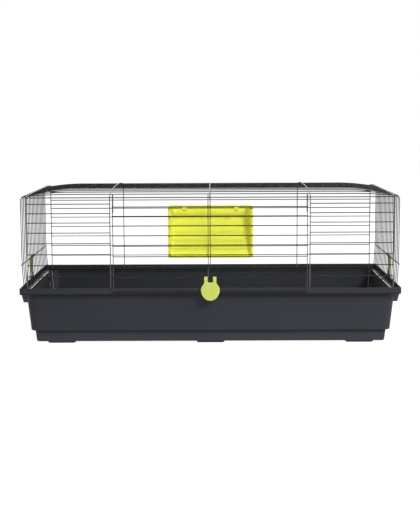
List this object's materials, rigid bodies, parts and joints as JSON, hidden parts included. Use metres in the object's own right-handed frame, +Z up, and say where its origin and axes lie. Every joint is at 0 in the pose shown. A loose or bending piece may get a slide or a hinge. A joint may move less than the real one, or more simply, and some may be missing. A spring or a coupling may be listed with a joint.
{
  "type": "indoor wire rabbit cage",
  "caption": "Low rectangular indoor cage with a deep moulded tray, a welded wire top, a hinged front wire door, snap clips and an outside hay rack.",
  "frame": {"origin": "on the floor, under the middle of the whole cage's bounding box", "axes": "+X along the cage's length, the door faces -Y, +Z up"},
  "size_m": [1.2, 0.6514, 0.4834],
  "materials": {
    "tray_plastic": "moulded, fine satin texture, dark grey",
    "wire": "drawn steel wire, dark grey coating, satin",
    "clip_plastic": "moulded lime green, semi-gloss",
    "rack_plastic": "moulded lime yellow, slightly translucent, semi-gloss"
  },
  "bodies": {
    "cage": {"tray": "tray_plastic", "left_end_arch": "wire", "left_arch": "wire", "centre_arch": "wire", "right_arch": "wire", "right_end_arch": "wire", "hinge_wire": "wire", "back_top_wire": "wire", "front_foot_wire": "wire", "back_foot_wire": "wire", "roof_wire_01": "wire", "roof_wire_02": "wire", "roof_wire_03": "wire", "roof_wire_04": "wire", "roof_wire_05": "wire", "roof_wire_06": "wire", "roof_wire_07": "wire", "roof_wire_08": "wire", "roof_wire_09": "wire", "roof_wire_10": "wire", "roof_wire_11": "wire", "roof_wire_12": "wire", "roof_wire_13": "wire", "roof_wire_14": "wire", "roof_wire_15": "wire", "back_wire_1": "wire", "front_left_wire_1": "wire", "front_right_wire_1": "wire", "back_wire_2": "wire", "front_left_wire_2": "wire", "front_right_wire_2": "wire", "back_wire_3": "wire", "front_left_wire_3": "wire", "front_right_wire_3": "wire", "back_wire_4": "wire", "front_left_wire_4": "wire", "front_right_wire_4": "wire", "back_wire_5": "wire", "front_left_wire_5": "wire", "front_right_wire_5": "wire", "back_wire_6": "wire", "front_left_wire_6": "wire", "front_right_wire_6": "wire", "back_wire_7": "wire", "front_left_wire_7": "wire", "front_right_wire_7": "wire", "back_wire_8": "wire", "front_left_wire_8": "wire", "front_right_wire_8": "wire", "left_end_panel": "wire", "right_end_panel": "wire"},
    "door": {"door": "wire", "door_hook_left": "wire", "door_hook_centre": "wire", "door_hook_right": "wire"},
    "front_latch": {"front_latch": "clip_plastic"},
    "left_clip": {"left_clip": "clip_plastic"},
    "right_clip": {"right_clip": "clip_plastic"},
    "hay_rack": {"hay_rack": "rack_plastic"}
  },
  "joints": [
    {"name": "door_hinge", "type": "hinge", "parent": "cage", "child": "door", "pos_m": [0, -0.30475, 0.46], "axis": [-1, 0, 0], "range_deg": [0, 225]},
    {"name": "front_latch_pivot", "type": "hinge", "parent": "door", "child": "front_latch", "pos_m": [0, -0.31595, 0.213], "axis": [-1, 0, 0], "range_deg": [0, 95]},
    {"name": "left_clip_pivot", "type": "hinge", "parent": "cage", "child": "left_clip", "pos_m": [-0.58483, -0.02095, 0.25], "axis": [0, 1, 0], "range_deg": [0, 95]},
    {"name": "right_clip_pivot", "type": "hinge", "parent": "cage", "child": "right_clip", "pos_m": [0.58483, -0.02095, 0.25], "axis": [0, -1, 0], "range_deg": [0, 95]},
    {"name": "rack_lift", "type": "slide", "parent": "cage", "child": "hay_rack", "axis": [0, 0, 1], "range_m": [0, 0.015]}
  ]
}
